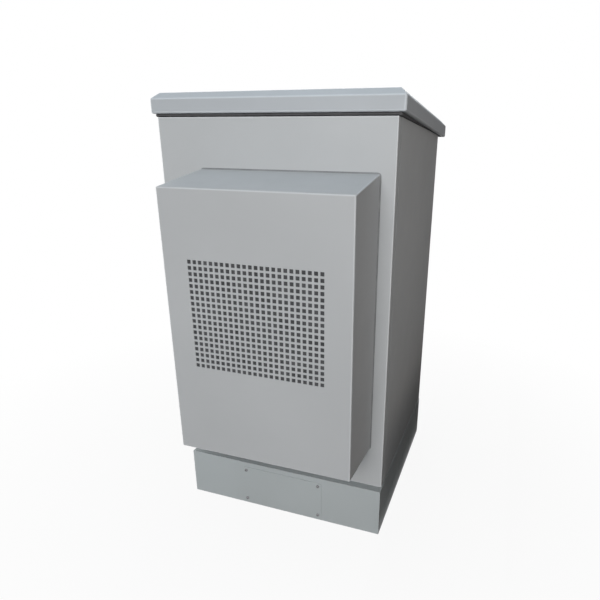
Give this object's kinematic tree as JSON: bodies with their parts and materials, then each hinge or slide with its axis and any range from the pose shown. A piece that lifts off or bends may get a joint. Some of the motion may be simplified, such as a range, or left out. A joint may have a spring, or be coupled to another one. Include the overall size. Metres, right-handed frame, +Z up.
{
  "type": "roadside utility cabinet",
  "caption": "Free-standing outdoor equipment cabinet of folded sheet steel with a plinth, an overhanging lid, a hinged door with a punched ventilation hood, and a rack inside.",
  "frame": {"origin": "centre of the four anchor holes on the ground under the plinth", "axes": "+X to the right seen from the front, +Y to the back, +Z up"},
  "size_m": [0.736, 0.9015, 1.3257],
  "materials": {
    "cabinet_paint": "satin light grey powder coat",
    "lid_paint": "satin light grey powder coat",
    "hood_paint": "satin light grey powder coat",
    "plinth_paint": "satin blue-grey powder coat",
    "screw_steel": "dark zinc plated",
    "zinc_steel": "galvanised sheet",
    "rail_steel": "bright zinc plated",
    "lock_steel": "zinc plated",
    "insulation_foam": "closed-cell foam board",
    "filter_foam": "open foam",
    "seal_rubber": "foam rubber",
    "copper": "bare copper",
    "insulator_plastic": "moulded nylon",
    "fan_plastic": "moulded black plastic",
    "handle_paint": "black powder-coated zinc casting"
  },
  "bodies": {
    "cabinet": {"plinth_front": "plinth_paint", "plinth_rear": "plinth_paint", "plinth_left": "plinth_paint", "plinth_right": "plinth_paint", "plinth_access_plate": "plinth_paint", "plinth_plate_screws": "screw_steel", "floor_plate": "zinc_steel", "cable_entry_frame": "zinc_steel", "cable_entry_seal": "seal_rubber", "left_side_panel": "cabinet_paint", "right_side_panel": "cabinet_paint", "rear_panel": "cabinet_paint", "top_plate": "zinc_steel", "roof_bearer_left": "zinc_steel", "roof_bearer_right": "zinc_steel", "roof_cap": "lid_paint", "frame_left_post": "zinc_steel", "frame_right_post": "zinc_steel", "frame_head": "zinc_steel", "frame_sill": "zinc_steel", "keeper_top": "lock_steel", "keeper_bottom": "lock_steel", "hinge_pintles": "lock_steel", "rack_rail_front_left": "rail_steel", "rack_rail_front_right": "rail_steel", "rack_rail_rear_left": "rail_steel", "rack_rail_rear_right": "rail_steel", "crossbar_front_lower": "zinc_steel", "crossbar_front_upper": "zinc_steel", "crossbar_rear_lower": "zinc_steel", "crossbar_rear_upper": "zinc_steel", "insulation_left": "insulation_foam", "insulation_right": "insulation_foam", "insulation_rear": "insulation_foam", "earth_bar": "copper", "earth_bar_standoffs": "insulator_plastic"},
    "door": {"door_panel": "cabinet_paint", "door_gasket": "seal_rubber", "hinge_goosenecks": "lock_steel", "hood_shell": "hood_paint", "hood_front": "hood_paint", "filter_mat": "filter_foam", "fan_duct": "zinc_steel", "fan_plate": "zinc_steel", "fan_strut": "zinc_steel", "fan_motor": "fan_plastic", "fan_guard": "zinc_steel", "handle_escutcheon": "handle_paint", "rod_guides": "insulator_plastic"},
    "fan": {"fan_rotor": "fan_plastic"},
    "handle": {"door_handle": "handle_paint", "lock_crank": "lock_steel"},
    "upper_rod": {"upper_lock_rod": "lock_steel"},
    "lower_rod": {"lower_lock_rod": "lock_steel"}
  },
  "joints": [
    {"name": "door_swing", "type": "hinge", "parent": "cabinet", "child": "door", "pos_m": [0.341, -0.281, 0.724], "axis": [0, 0, 1], "range_deg": [0, 110]},
    {"name": "handle_turn", "type": "hinge", "parent": "door", "child": "handle", "pos_m": [-0.284, -0.34, 0.724], "axis": [0, 1, 0], "range_deg": [0, 90]},
    {"name": "upper_rod_slide", "type": "slide", "parent": "door", "child": "upper_rod", "axis": [0, 0, 1], "range_m": [0, 0.02141]},
    {"name": "lower_rod_slide", "type": "slide", "parent": "door", "child": "lower_rod", "axis": [0, 0, -1], "range_m": [0, 0.02141]},
    {"name": "fan_spin", "type": "hinge", "parent": "door", "child": "fan", "pos_m": [0.045, -0.3825, 0.755], "axis": [0, 1, 0], "continuous": true}
  ],
  "couplings": [
    {"joint": "upper_rod_slide", "follows": "handle_turn", "m_per_rad": 0.013505},
    {"joint": "lower_rod_slide", "follows": "handle_turn", "m_per_rad": 0.013505}
  ]
}
